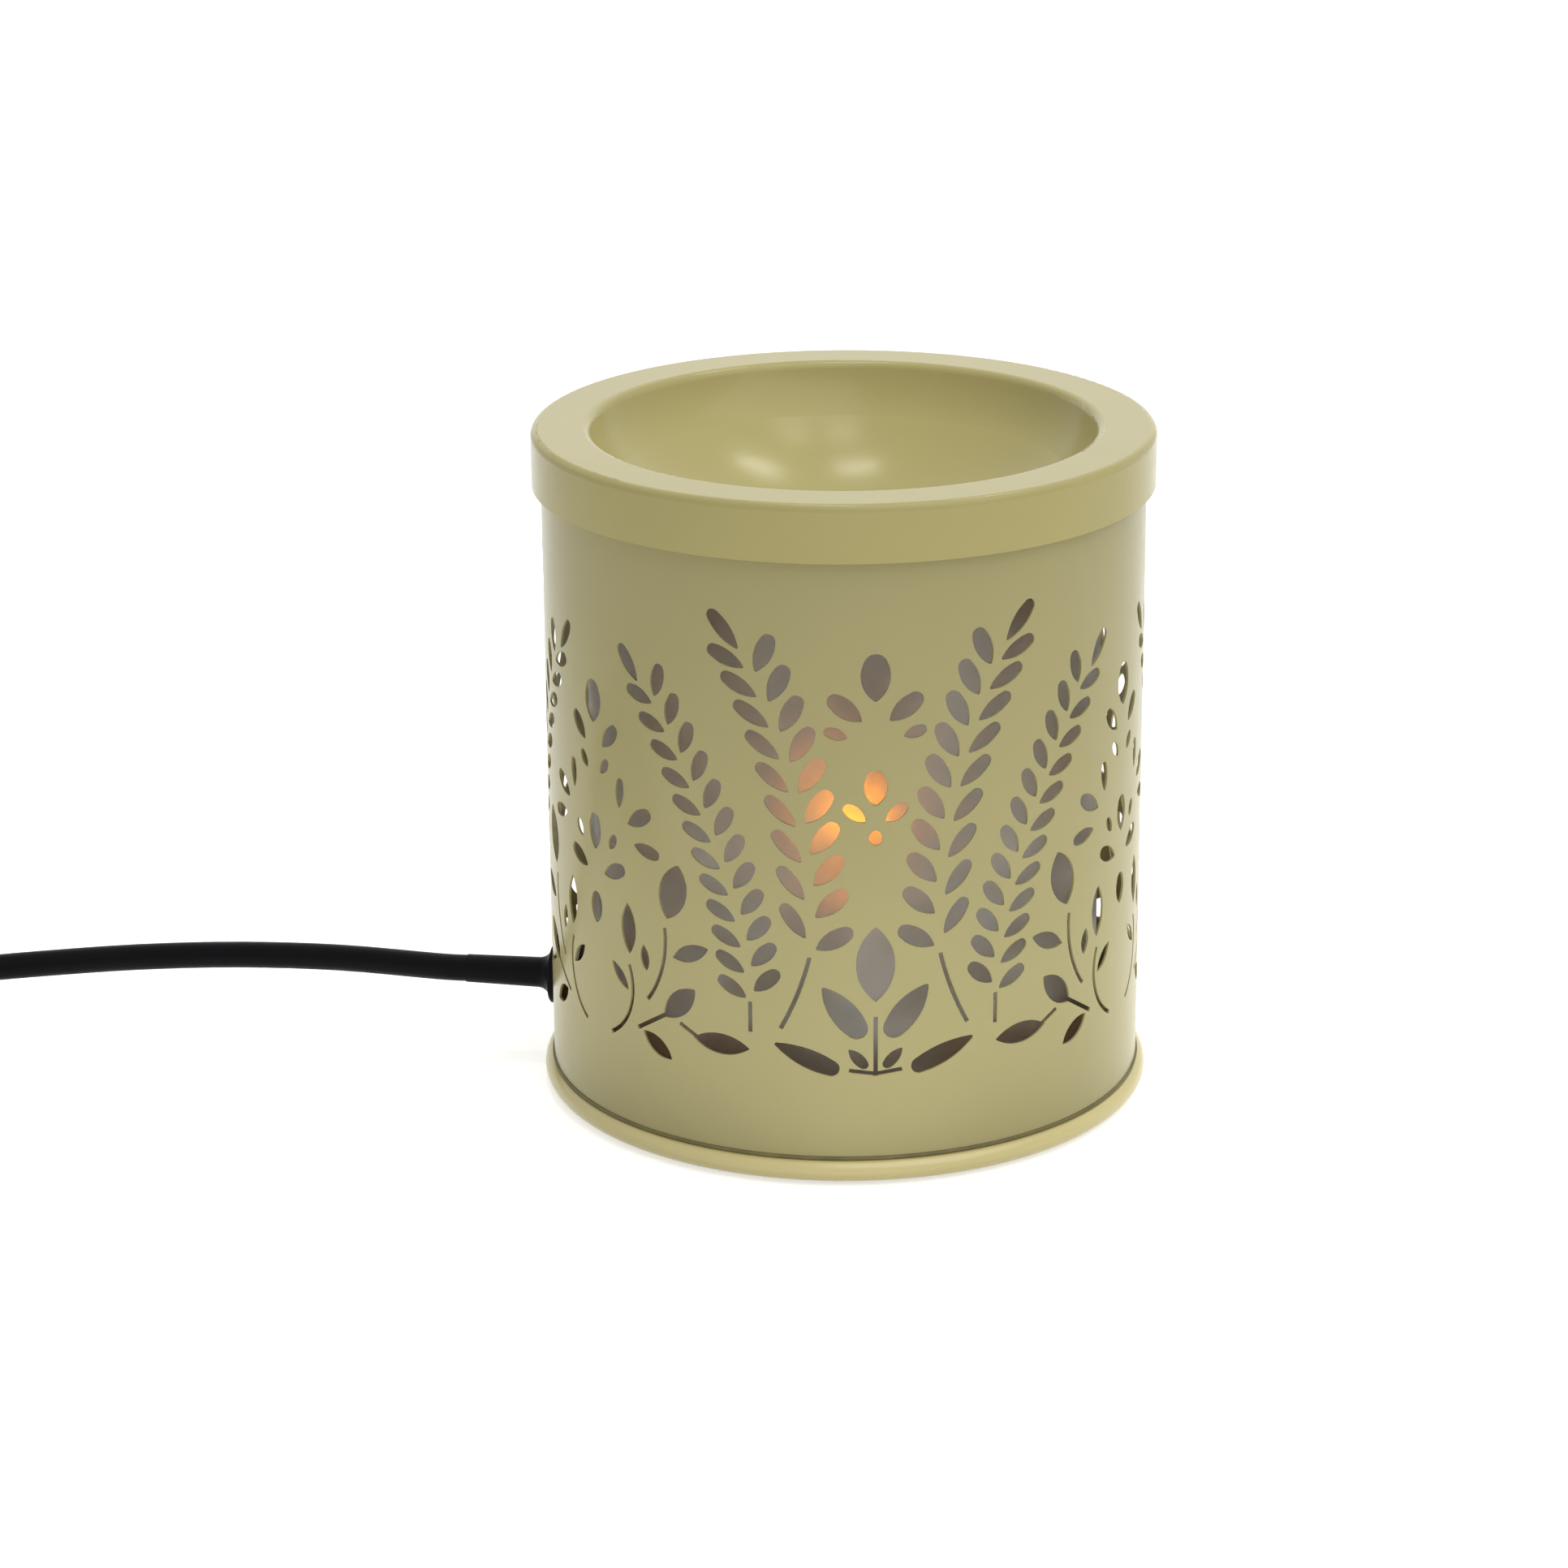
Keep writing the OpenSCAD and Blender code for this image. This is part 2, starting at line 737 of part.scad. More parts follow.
module strap_nuts() {
    color("LightGray")
        to_gland()
            for (side = [-1, 1])
                translate([0, side * screw_reach, plate_top + strap_sheet])
                    difference() {
                        cylinder(h = 2.4, d = 2.1 * strap_screw_d, $fn = 6);
                        translate([0, 0, -bite])
                            cylinder(h = 2.4 + 2 * bite, d = strap_screw_d + 0.06);
                    }
}

module holder_rivet() {
    color("Silver")
        union() {
            translate([0, 0, bridge_z - strap_sheet - 0.9])
                cylinder(h = 0.9, d = 2 * strap_screw_d);
            translate([0, 0, bridge_z - strap_sheet - 0.5])
                cylinder(h = strap_sheet + holder_floor - 1.5, d = strap_screw_d);
            translate([0, 0, floor_z - 2.4])
                cylinder(h = 1.2, d = 2 * strap_screw_d);
        }
}

module lamp_holder() {
    color("AntiqueWhite")
        difference() {
            translate([0, 0, bridge_z])
                cylinder(h = holder_h, d = holder_d);
            translate([0, 0, floor_z])
                cylinder(h = holder_h, r = shell_r + shell_gap);
            translate([0, 0, bridge_z - bite])
                cylinder(h = holder_floor, d = strap_screw_d + 0.3);
            translate([0, 0, floor_z - 2.4])
                cylinder(h = 2.4 + bite, d = 2 * strap_screw_d + 0.4);
            to_gland() {
                translate([terminal_face, -holder_d / 2, bridge_z - bite])
                    cube([holder_d, holder_d, holder_floor + 4 + bite]);
                for (side = [-1, 1])
                    translate([terminal_face - 4, side * terminal_side, terminal_z])
                        rotate([0, 90, 0])
                            cylinder(h = 4 + bite, d = 2.5);
            }
        }
}

module holder_shell() {
    color("Goldenrod")
        translate([0, 0, shell_z])
            difference() {
                cylinder(h = shell_top - shell_z, r = shell_r);
                translate([0, 0, -bite])
                    cylinder(h = shell_top - shell_z + 2 * bite, r = shell_in);
            }
}

module holder_contact() {
    color("Goldenrod")
        to_gland() {
            translate([-shell_r + 0.6, -1.6, floor_z])
                cube([2 * shell_r - 1.2, 3.2, contact_thick]);
            translate([0, 0, floor_z + contact_thick / 2])
                cylinder(h = contact_z - floor_z - contact_thick / 2, d = 3);
        }
}

module terminal_screws() {
    color("Goldenrod")
        to_gland()
            for (side = [-1, 1])
                translate([terminal_face, side * terminal_side, terminal_z])
                    rotate([0, 90, 0]) {
                        cylinder(h = terminal_head, d = 4.6);
                        translate([0, 0, -3.6])
                            cylinder(h = 4, d = 2.4);
                    }
}

module lamp_outline(inset) {
    shoulder = holder_top + 2;
    translate([0, glass_z])
        circle(glass_r - inset);
    polygon([
        [0, cap_z + cap_h - 4 + inset],
        [neck_r - inset, cap_z + cap_h - 4 + inset],
        [neck_r - inset, shoulder],
        [0.9 * glass_r - inset, glass_z - 0.436 * glass_r],
        [0, glass_z]
    ]);
}

module lamp_glass() {
    color("LightCyan", 0.5)
        rotate_extrude()
            intersection() {
                difference() {
                    lamp_outline(0);
                    lamp_outline(glass_wall);
                }
                translate([0, cap_z])
                    square([2 * glass_r, glass_z + 2 * glass_r]);
            }
}

module lamp_cap() {
    threads = floor((cap_h - 3) / thread_pitch);
    color("Silver")
        difference() {
            union() {
                translate([0, 0, cap_z])
                    cylinder(h = cap_h, r = cap_r - thread_deep);
                for (i = [0:threads - 1])
                    translate([0, 0, cap_z + 1 + thread_pitch * i])
                        rotate_extrude()
                            translate([cap_r - 1, 0])
                                square([1, thread_pitch / 2]);
            }
            translate([0, 0, cap_z + 0.6])
                cylinder(h = cap_h, r = neck_r + 0.05);
        }
}

module lamp_insulator() {
    color("DarkSlateGray")
        translate([0, 0, contact_z + tip_h])
            cylinder(h = insulator_h, r1 = 0.5 * cap_r, r2 = 0.82 * cap_r);
}

module lamp_contact() {
    color("LightGray")
        translate([0, 0, contact_z])
            cylinder(h = tip_h, r = 0.32 * cap_r);
}

module lamp_stem() {
    color("LightCyan")
        translate([0, 0, cap_z + 0.6])
            union() {
                cylinder(h = cap_h - 4.6, r1 = neck_r - 0.3, r2 = 2);
                cylinder(h = light_z - cap_z - 9, r = 1.5);
            }
}

module lamp_wires() {
    stem_top = light_z - 8.4;
    spread = atan((wire_reach - 0.8) / (light_z - stem_top + 2));
    color("LightGray")
        for (side = [-1, 1])
            translate([side * 0.8, 0, stem_top - 2])
                rotate([0, side * spread, 0])
                    cylinder(h = (light_z - stem_top + 2) / cos(spread), d = 0.5);
}

module lamp_filament() {
    color("Orange")
        translate([0, 0, light_z])
            rotate([90, 0, 0])
                rotate_extrude(angle = 180)
                    translate([wire_reach, 0])
                        circle(d = 0.7);
}

module cord_gland() {
    flare_end = can_r + gland_lip + gland_flare;
    neck = cord_d / 2 + 0.35;
    flare = min(gland_flare, gland_r - neck);
    color("DimGray")
        difference() {
            on_gland()
                rotate_extrude()
                    difference() {
                        polygon([
                            [0, inner_from],
                            [gland_barrel / 2, inner_from],
                            [gland_barrel / 2, can_in - 0.5],
                            [gland_r, can_in - 0.5],
                            [gland_r, can_r + gland_lip],
                            [neck + flare, can_r + gland_lip],
                            [neck, flare_end],
                            [cord_d / 2 + 0.15, gland_end],
                            [0, gland_end]
                        ]);
                        translate([neck + flare, flare_end])
                            circle(flare);
                    }
            difference() {
                cylinder(h = 3 * gland_z, r = can_r);
                on_gland()
                    cylinder(h = can_r + 2 * bite, d = gland_barrel);
            }
        }
}

module gland_nut() {
    color("DarkSlateGray")
        on_gland()
            translate([0, 0, nut_face - nut_thick])
                difference() {
                    cylinder(h = nut_thick, r = nut_r, $fn = 6);
                    translate([0, 0, -bite])
                        cylinder(h = nut_thick + 2 * bite, d = gland_barrel + 0.06);
                }
}

module cord_inner() {
    color("Black")
        on_gland()
            translate([0, 0, split_r])
                cylinder(h = inner_from - split_r, d = cord_d);
}

module lead(side) {
    start = [split_r - cord_gap, side * (lead_d / 2 + 0.35), gland_z];
    end = [terminal_face + terminal_head + cord_gap, side * terminal_side, terminal_z];
    to_gland()
        tube(
            smooth(
                [start, start - [6, 0, 0], end + [6, 0, 0], end],
                4
            ),
            lead_d,
            8
        );
}

module lead_left() {
    color("SteelBlue")
        lead(-1);
}

module lead_right() {
    color("SaddleBrown")
        lead(1);
}

module cord_lead() {
    color("Black")
        tube(smooth(lead_route, 2), cord_d, 10);
}

module switch_outline() {
    reach = (switch_long - switch_wide) / 2;
    square([2 * reach, switch_wide], center = true);
    for (side = [-1, 1])
        translate([side * reach, 0])
            circle(d = switch_wide);
    square([switch_long, cord_d + 4], center = true);
}

module at_switch() {
    translate([switch_at[0], switch_at[1], 0])
        children();
}

module wheel_room() {
    translate([0, 0, switch_mid - wheel_thick / 2 - wheel_gap])
        cylinder(h = wheel_thick + 2 * wheel_gap, d = wheel_d + 2 * wheel_gap);
}

module switch_base() {
    color("Black")
        at_switch() {
            difference() {
                linear_extrude(height = switch_mid)
                    switch_outline();
                wheel_room();
                for (side = [-1, 1])
                    translate([side * (switch_long / 2 - 7), 0, 0]) {
                        translate([0, 0, -bite])
                            cylinder(h = bite + 2, d = 4.8);
                        translate([0, 0, -bite])
                            cylinder(h = switch_h, d = 2.6);
                    }
            }
            translate([0, 0, switch_mid - wheel_thick / 2 - wheel_gap - bite])
                cylinder(h = bite + wheel_thick + 2 * wheel_gap + 2, d = wheel_pin_d);
        }
}

module switch_cover() {
    color("Black")
        at_switch()
            difference() {
                translate([0, 0, switch_mid])
                    linear_extrude(height = switch_h - switch_mid)
                        switch_outline();
                wheel_room();
                translate([0, 0, switch_mid])
                    cylinder(h = wheel_thick / 2 + wheel_gap + 2.4, d = wheel_pin_d + 2 * wheel_fit);
                for (side = [-1, 1])
                    translate([side * (switch_long / 2 - 7), 0, 0])
                        cylinder(h = switch_mid + 5.2, d = 2.6);
            }
}

module switch_wheel() {
    notches = 24;
    color("DimGray")
        at_switch()
            translate([0, 0, switch_mid - wheel_thick / 2])
                difference() {
                    cylinder(h = wheel_thick, d = wheel_d);
                    translate([0, 0, -bite])
                        cylinder(h = wheel_thick + 2 * bite, d = wheel_pin_d + 2 * wheel_fit);
                    for (k = [0:notches - 1])
                        rotate([0, 0, 360 / notches * k])
                            translate([wheel_d / 2 + 0.2, 0, -bite])
                                cylinder(h = wheel_thick + 2 * bite, d = 1.4);
                }
}

module switch_screws() {
    color("LightGray")
        at_switch()
            for (side = [-1, 1])
                translate([side * (switch_long / 2 - 7), 0, 0]) {
                    translate([0, 0, 0.4])
                        cylinder(h = 1.6, d = 4.4);
                    translate([0, 0, 1.6])
                        cylinder(h = switch_mid + 3, d = 2.5);
                }
}

module cord_feed() {
    color("Black")
        tube(smooth(feed_route, 2), cord_d, 10);
}

module cord_coil() {
    color("Black")
        tube(coil_route, cord_d, 6);
}

module coil_tie() {
    low_r = coil_in - coil_step / 8 - cord_d / 2 - tie_gap;
    high_r = coil_outer + cord_d / 2 + tie_gap;
    low_z = coil_z - cord_d / 2 - tie_gap;
    high_z = coil_z + coil_step + cord_d / 2 + tie_gap;
    color("Gray")
        translate([coil_at[0], coil_at[1] - tie_wide / 2, 0])
            difference() {
                translate([low_r - tie_thick, 0, low_z - tie_thick])
                    cube([high_r - low_r + 2 * tie_thick, tie_wide, high_z - low_z + 2 * tie_thick]);
                translate([low_r, -bite, low_z])
                    cube([high_r - low_r, tie_wide + 2 * bite, high_z - low_z]);
            }
}

module cord_tail() {
    color("Black")
        tube(smooth(tail_route, 3), cord_d, 10);
}

module at_plug() {
    translate([plug_at[0], plug_at[1], plug_axis])
        children();
}

module plug_body() {
    half = plug_wide / 2;
    thin = plug_thick / 2;
    color("Black")
        at_plug()
            difference() {
                union() {
                    intersection() {
                        translate([0, 0, -thin])
                            linear_extrude(height = plug_thick)
                                polygon([
                                    [0, -0.4 * half], [0.3 * plug_long, -0.9 * half],
                                    [0.6 * plug_long, -0.8 * half], [0.8 * plug_long, -half],
                                    [plug_long, -half], [plug_long, half],
                                    [0.8 * plug_long, half], [0.6 * plug_long, 0.8 * half],
                                    [0.3 * plug_long, 0.9 * half], [0, 0.4 * half]
                                ]);
                        translate([0, half, 0])
                            rotate([90, 0, 0])
                                linear_extrude(height = plug_wide)
                                    polygon([
                                        [0, -0.6 * thin], [0.3 * plug_long, -thin],
                                        [plug_long, -thin], [plug_long, thin],
                                        [0.3 * plug_long, thin], [0, 0.6 * thin]
                                    ]);
                    }
                    translate([-plug_neck, 0, 0])
                        rotate([0, 90, 0])
                            cylinder(h = plug_neck + 4, r1 = cord_d / 2 + 0.3, r2 = cord_d / 2 + 1.4);
                }
                for (side = [-1, 1])
                    translate([
                        plug_long - blade_root,
                        side * blade_pitch / 2 - blade_thick / 2 - 0.03,
                        -blade_wide / 2 - 0.1
                    ])
                        cube([blade_root + bite, blade_thick + 0.06, blade_wide + 0.2]);
            }
}

module plug_blades() {
    color("Goldenrod")
        at_plug()
            for (side = [-1, 1])
                difference() {
                    translate([
                        plug_long - blade_root,
                        side * blade_pitch / 2 - blade_thick / 2,
                        -blade_wide / 2
                    ])
                        cube([blade_root + blade_long, blade_thick, blade_wide]);
                    translate([
                        plug_long + blade_long - blade_hole_in,
                        side * blade_pitch / 2 + blade_thick,
                        0
                    ])
                        rotate([90, 0, 0])
                            cylinder(h = 2 * blade_thick, d = 3);
                }
}

wax_dish();
pierced_can();
diffuser();
base_pan();
feet();
holder_strap();
strap_screws();
strap_nuts();
holder_rivet();
lamp_holder();
holder_shell();
holder_contact();
terminal_screws();
lamp_glass();
lamp_cap();
lamp_insulator();
lamp_contact();
lamp_stem();
lamp_wires();
lamp_filament();
cord_gland();
gland_nut();
cord_inner();
lead_left();
lead_right();
cord_lead();
switch_base();
switch_cover();
switch_wheel();
switch_screws();
cord_feed();
cord_coil();
coil_tie();
cord_tail();
plug_body();
plug_blades();
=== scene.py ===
"""Looks of the electric wax warmer: camera, cord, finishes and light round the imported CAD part.

Metres, in the frame of the CAD part: +Z up, the front faces -Y, the origin is under the can's axis.
"""

import json
import math

import bpy
from mathutils import Matrix, Vector

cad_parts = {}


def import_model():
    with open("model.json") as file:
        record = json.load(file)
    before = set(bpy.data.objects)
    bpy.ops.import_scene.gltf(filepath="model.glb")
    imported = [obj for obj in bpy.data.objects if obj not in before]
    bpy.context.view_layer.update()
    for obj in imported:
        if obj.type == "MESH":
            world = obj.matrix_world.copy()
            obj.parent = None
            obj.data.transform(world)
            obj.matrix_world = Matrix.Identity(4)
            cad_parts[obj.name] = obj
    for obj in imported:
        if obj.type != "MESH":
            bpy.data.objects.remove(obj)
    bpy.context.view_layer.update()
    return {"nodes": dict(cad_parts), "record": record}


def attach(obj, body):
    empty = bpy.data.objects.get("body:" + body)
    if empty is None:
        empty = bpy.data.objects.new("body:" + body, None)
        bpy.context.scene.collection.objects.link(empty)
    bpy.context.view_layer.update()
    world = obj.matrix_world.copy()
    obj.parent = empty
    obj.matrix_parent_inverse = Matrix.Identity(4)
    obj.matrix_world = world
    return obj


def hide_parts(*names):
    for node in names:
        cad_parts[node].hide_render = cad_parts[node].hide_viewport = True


MM = 0.001

# Camera, fitted to the photograph by its ellipses and edges
CAMERA_AT = Vector((0.0, -0.7955, 0.33131))
CAMERA_PITCH = 19.036
CAMERA_YAW = -0.811
CAMERA_ROLL = -0.384
CAMERA_LENS = 103.26
CAMERA_SENSOR = 36.0

# Cord, in millimetres, with the same points as the part's source
CORD_D = 5.1
GLAND_ANGLE = math.radians(171)
GLAND_END = 73.5
GLAND_Z = 15.5
SWITCH_AT = (-232, 25)
SWITCH_LONG = 52
SWITCH_MID = 8
COIL_AT = (-252, -33)
COIL_Z = 3.75
COIL_STEP = CORD_D + 0.55
COIL_OUTER = 40.4
TURNS_DOWN = 3.5
TURNS_CLIMB = 0.5
TURNS_UP = 3.25
COIL_POINTS = 48
PLUG_NECK_AT = -234
PLUG_AXIS = 7.5
LEAD_D = 2.2
LEAD_SPLIT = 34
TERMINAL_AT = (12.4, 5.0, 15.3)
SHEATH_END = 48.9
LEAD_APART = 0.35
CORD_STRAIGHT = 6
CORD_STEPS = 4
LEAD_STEPS = 10

# Filament, in millimetres: a coil along the arc of the part's own filament
LIGHT_Z = 47.9
ARC_R = 4.0
FILAMENT_TURNS = 10
FILAMENT_STEPS = 14
FILAMENT_R = 1.3
FILAMENT_WIRE = 0.85
FILAMENT_AT = Vector((0, 0, LIGHT_Z))
FILAMENT_LEAN = 2.2

# Ring of painted shade along the seam between the can and the bead, in millimetres
SEAM_R = 55.3
SEAM_Z = 4.9
SEAM_D = 0.7
SEAM_STEPS = 180

# Usual range of a noise texture's values
NOISE_LOW = 0.3
NOISE_HIGH = 0.7

# Floor and world, in metres; each is white to the camera and plain for the light
FLOOR_REACH = 6.0
FLOOR_Z = -0.0002
FLOOR_COLOUR = (0.9, 0.9, 0.89, 1)
FLOOR_WHITE = 0.6
WORLD_LIGHT = 0.35
WORLD_WHITE = 1.0

# Soft panels: name, direction, distance, wide and deep, watts, colour. The bowl in the photograph
# mirrors the four on the ceiling, and the other two are large.
PANEL_AIM = Vector((0, 0, 0.11))
WHITE = (1, 1, 1)
CEILING = (0.97, 1.0, 0.88)
PANELS = (
    ("panel_right_back", (0.298, 0.425, 0.855), 1.6, (0.24, 0.16), 2.2, CEILING),
    ("panel_left_back", (-0.052, 0.334, 0.941), 1.6, (0.24, 0.16), 2.2, CEILING),
    ("panel_right_front", (0.218, 0.098, 0.971), 1.6, (0.20, 0.20), 1.1, CEILING),
    ("panel_left_front", (0.005, 0.068, 0.998), 1.6, (0.20, 0.20), 1.1, CEILING),
    ("panel_key", (0.36, -0.40, 0.86), 1.5, (1.5, 1.5), 11.2, WHITE),
    ("panel_behind", (0.0, 0.93, 0.36), 2.0, (1.8, 1.8), 3.5, WHITE),
)

# Strips of light on the table round the base, in metres and watts
STRIP_WIDE = 0.093
STRIP_HOLE = 0.067
STRIP_Z = 0.0005
STRIP_POWER = 0.08

# Nodes whose finish differs from their slot's; the lighter paints of the dish and the base pan are
# painted light
OWN_FINISH = {"wax_dish": "dish_paint_painted_light", "base_pan": "bead_paint_painted_light", "cord_gland": "black_cord"}


def between(a, b, c, d, t):
    """Point on the cubic from b to c, with a and d as the neighbours."""
    return 0.5 * (
        2 * b
        + (c - a) * t
        + (2 * a - 5 * b + 4 * c - d) * t * t
        + (3 * b - a - 3 * c + d) * t * t * t
    )


def smooth(points, steps):
    """Smooth route through points, as in the part's source, with more steps."""
    p = [Vector(q) for q in points]
    p = [p[0], *p, p[-1]]
    route = []
    for i in range(1, len(p) - 2):
        route += [between(*p[i - 1 : i + 3], k / steps) for k in range(steps)]
    return route + [p[-1]]


def coil_point(turn):
    """Point of the coil: it winds in on the table, climbs for half a turn and winds out on top."""
    inner = COIL_OUTER - COIL_STEP * TURNS_DOWN
    past = turn - TURNS_DOWN
    if past < 0:
        radius = COIL_OUTER - COIL_STEP * turn
    elif past < TURNS_CLIMB:
        radius = inner - COIL_STEP * past * (1 - 2 * past)
    else:
        radius = inner + COIL_STEP * (past - TURNS_CLIMB)
    u = max(0.0, min(1.0, past / TURNS_CLIMB))
    angle = math.pi + 2 * math.pi * turn
    return Vector((
        COIL_AT[0] + radius * math.cos(angle),
        COIL_AT[1] + radius * math.sin(angle),
        COIL_Z + COIL_STEP * u * u * (3 - 2 * u),
    ))


def lead_route():
    """From the gland to the switch."""
    out = Vector((math.cos(GLAND_ANGLE), math.sin(GLAND_ANGLE), 0))
    rise = Vector((0, 0, GLAND_Z))
    end_x = SWITCH_AT[0] + SWITCH_LONG / 2
    return smooth(
        [
            out * GLAND_END + rise,
            out * (GLAND_END + CORD_STRAIGHT) + rise,
            (-98, 17.6, 15.3),
            (-118, 21.6, 14.4),
            (-138, 24, 13),
            (-158, 25, 11.2),
            (-178, 25, 9.4),
            (-192, 25, 8.4),
            (end_x + CORD_STRAIGHT, SWITCH_AT[1], SWITCH_MID),
            (end_x, SWITCH_AT[1], SWITCH_MID),
        ],
        CORD_STEPS,
    )


def feed_route():
    """From the switch through the coil to the plug."""
    start_x = SWITCH_AT[0] - SWITCH_LONG / 2
    coil_x = COIL_AT[0] - COIL_OUTER
    turns = TURNS_DOWN + TURNS_CLIMB + TURNS_UP
    count = round(turns * COIL_POINTS)
    coil = [coil_point(i / COIL_POINTS) for i in range(count + 1)]
    to_coil = smooth(
        [
            (start_x, SWITCH_AT[1], SWITCH_MID),
            (start_x - CORD_STRAIGHT, SWITCH_AT[1], SWITCH_MID),
            (-272, 23.2, 6.6),
            (-281, 17.4, 5),
            (-288, 7.6, 4.1),
            (-291, -4, 3.8),
            (coil_x, COIL_AT[1] + 16, COIL_Z),
            (coil_x, COIL_AT[1] + CORD_D, COIL_Z),
        ],
        CORD_STEPS,
    )
    leave = coil[-1] + Vector((CORD_D, 0, 0))
    to_plug = smooth(
        [
            leave,
            leave + Vector((4, 0, 0)),
            (PLUG_NECK_AT - 4, leave.y, PLUG_AXIS),
            (PLUG_NECK_AT, leave.y, PLUG_AXIS),
        ],
        CORD_STEPS,
    )
    return to_coil + coil + to_plug


def tube(name, route, diameter):
    """Round tube along a route in millimetres, as a curve of one open spline.

    The points carry the radius, because Blender adds it to the curve's box.
    """
    data = bpy.data.curves.new(name, "CURVE")
    data.dimensions = "3D"
    data.bevel_depth = 1.0
    data.bevel_resolution = 6
    data.use_fill_caps = True
    spline = data.splines.new("POLY")
    spline.points.add(len(route) - 1)
    for point, place in zip(spline.points, route):
        point.co = (*(place * MM), 1.0)
        point.radius = diameter / 2 * MM
    spline.use_smooth = True
    piece = bpy.data.objects.new(name, data)
    bpy.context.scene.collection.objects.link(piece)
    return piece


def make_camera():
    pitch, yaw, roll = (math.radians(a) for a in (CAMERA_PITCH, CAMERA_YAW, CAMERA_ROLL))
    forward = Vector((
        math.sin(yaw) * math.cos(pitch),
        math.cos(yaw) * math.cos(pitch),
        -math.sin(pitch),
    ))
    level = Vector((math.cos(yaw), -math.sin(yaw), 0))
    upright = level.cross(forward)
    right = math.cos(roll) * level + math.sin(roll) * upright
    up = math.cos(roll) * upright - math.sin(roll) * level
    data = bpy.data.cameras.new("camera")
    data.lens = CAMERA_LENS
    data.sensor_width = CAMERA_SENSOR
    camera = bpy.data.objects.new("camera", data)
    bpy.context.scene.collection.objects.link(camera)
    turn = Matrix((right, up, -forward)).transposed().to_4x4()
    camera.matrix_world = Matrix.Translation(CAMERA_AT) @ turn
    bpy.context.scene.camera = camera


def make_cords():
    """The visible cord to the switch, and the stored length from the switch to the plug."""
    first = lead_route()
    lead = tube("cord_to_switch", first, CORD_D)
    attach(lead, "body")
    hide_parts("cord_lead")
    second = feed_route()
    feed = tube("cord_to_plug", second, CORD_D)
    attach(feed, "body")
    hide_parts("cord_feed", "cord_coil", "cord_tail")
    return [lead, feed]


def make_leads():
    """The cord's end inside the can, and its two leads to the holder."""
    turn = Matrix.Rotation(GLAND_ANGLE, 3, "Z")
    inner_from = Vector((LEAD_SPLIT, 0, GLAND_Z))
    inner_to = Vector((SHEATH_END, 0, GLAND_Z))
    sheath = tube("cord_end", [turn @ inner_from, turn @ inner_to], CORD_D)
    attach(sheath, "body")
    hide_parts("cord_inner")
    leads = []
    for side, name, node, slot in (
        (-1, "wire_left", "lead_left", "blue_lead"),
        (1, "wire_right", "lead_right", "brown_lead"),
    ):
        start = Vector((LEAD_SPLIT, side * (LEAD_D / 2 + LEAD_APART), GLAND_Z))
        end = Vector((TERMINAL_AT[0], side * TERMINAL_AT[1], TERMINAL_AT[2]))
        straight = Vector((CORD_STRAIGHT, 0, 0))
        points = [start, start - straight, end + straight, end]
        wire = tube(name, [turn @ p for p in smooth(points, LEAD_STEPS)], LEAD_D)
        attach(wire, "body")
        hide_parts(node)
        leads.append(wire)
    return sheath, leads


def make_filament():
    """Coiled filament from one support wire to the other; its middle leans to one side."""
    steps = FILAMENT_TURNS * FILAMENT_STEPS
    route = []
    for i in range(steps + 1):
        t = i / steps
        out = Vector((math.cos(math.pi * t), 0, math.sin(math.pi * t)))
        phase = 2 * math.pi * FILAMENT_TURNS * t
        from_end = FILAMENT_TURNS * min(t, 1 - t)
        loop = FILAMENT_R * min(1.0, from_end)
        lean = FILAMENT_LEAN * min(1.0, from_end)
        route.append(
            FILAMENT_AT
            + out * (ARC_R + loop * math.cos(phase))
            + Vector((lean, loop * math.sin(phase), 0))
        )
    coil = tube("filament_coil", route, FILAMENT_WIRE)
    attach(coil, "lamp")
    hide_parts("lamp_filament")
    return coil


def make_seam_shade():
    """Thin dark ring along the seam where the can is crimped into the bead: painted shade for the
    crease there.
    """
    angles = [2 * math.pi * i / SEAM_STEPS for i in range(SEAM_STEPS + 1)]
    route = [Vector((SEAM_R * math.cos(a), SEAM_R * math.sin(a), SEAM_Z)) for a in angles]
    seam = tube("seam_shade_ring", route, SEAM_D)
    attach(seam, "body")
    return seam


